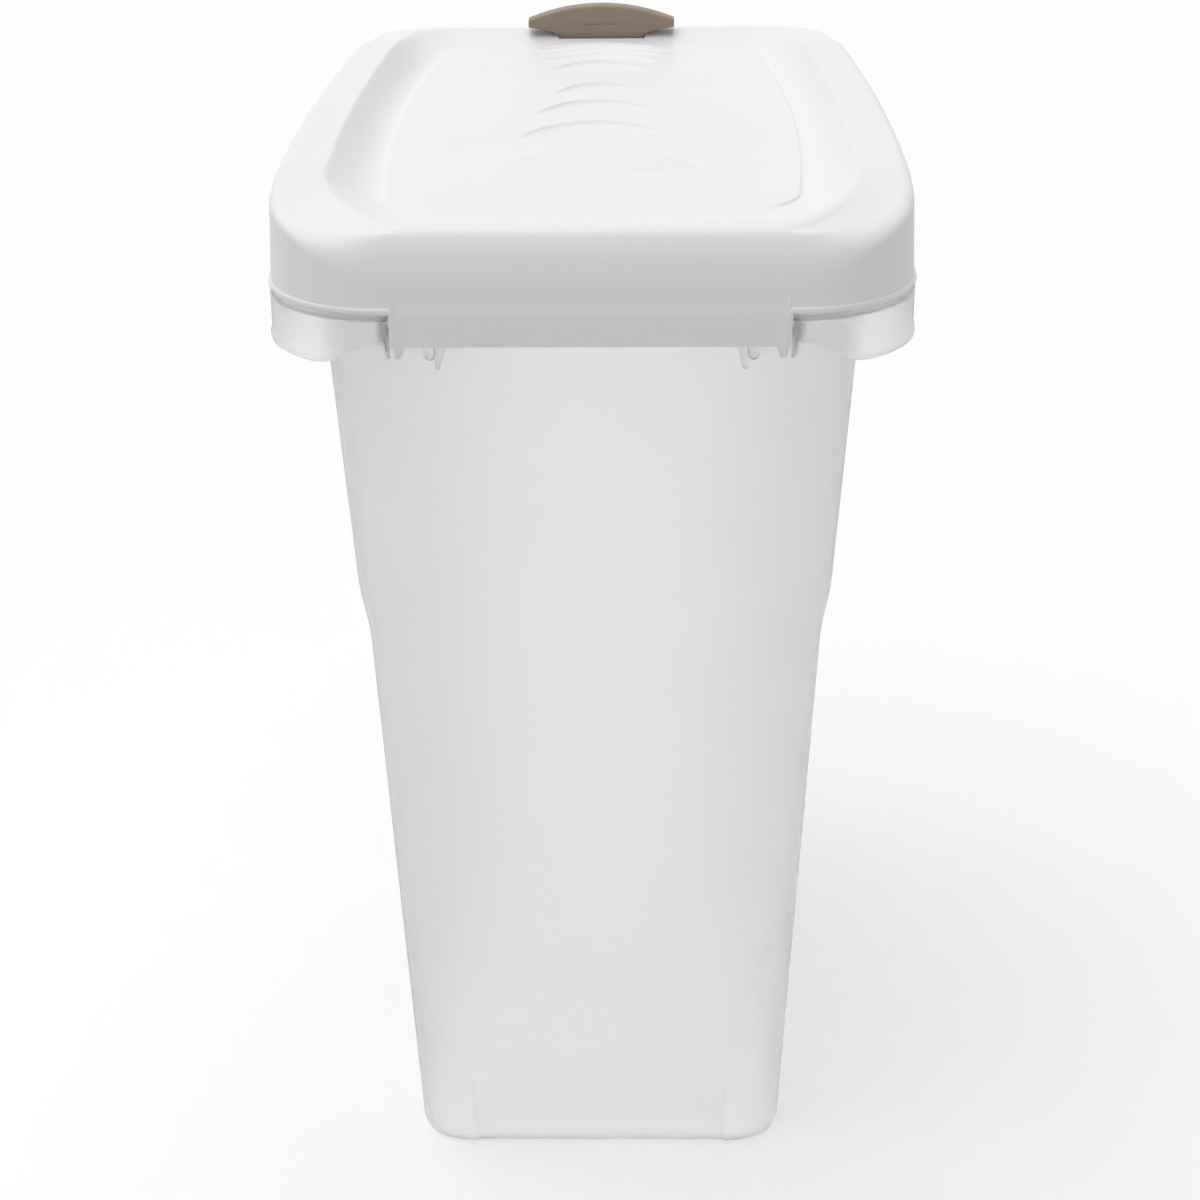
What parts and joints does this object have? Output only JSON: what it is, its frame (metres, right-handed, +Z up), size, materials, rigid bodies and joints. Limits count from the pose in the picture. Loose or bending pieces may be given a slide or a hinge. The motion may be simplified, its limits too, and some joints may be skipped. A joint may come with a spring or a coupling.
{
  "type": "pet food storage container",
  "caption": "Tall tapered food bin in frosted plastic with a hinged white lid, a rim seal, under-rim finger grips and a rocking thumb latch.",
  "frame": {"origin": "bottom centre of the bin, on the surface it stands on", "axes": "+Z up, +X to the right, +Y towards the latch side; the hinge is on the -Y side"},
  "size_m": [0.282, 0.419, 0.4965],
  "materials": {
    "frosted_plastic": "translucent frosted polypropylene, satin",
    "white_plastic": "satin moulded polypropylene",
    "soft_seal": "soft matte",
    "brown_plastic": "satin moulded plastic",
    "pin_plastic": "satin",
    "spring_steel": "plain spring strip"
  },
  "bodies": {
    "bin": {"bin": "frosted_plastic", "hinge_pin_left": "pin_plastic", "hinge_pin_right": "pin_plastic"},
    "lid": {"lid": "white_plastic", "lid_seal": "soft_seal", "latch_pin": "pin_plastic", "latch_spring": "spring_steel"},
    "latch": {"latch": "brown_plastic"}
  },
  "joints": [
    {"name": "lid_hinge", "type": "hinge", "parent": "bin", "child": "lid", "pos_m": [0, -0.2025, 0.436], "axis": [1, 0, 0], "range_deg": [0, 105]},
    {"name": "latch_pivot", "type": "hinge", "parent": "lid", "child": "latch", "pos_m": [0, 0.184, 0.468], "axis": [1, 0, 0], "range_deg": [0, 7], "stiffness_Nm_per_rad": 0.8, "deforming": ["latch_spring"]}
  ]
}
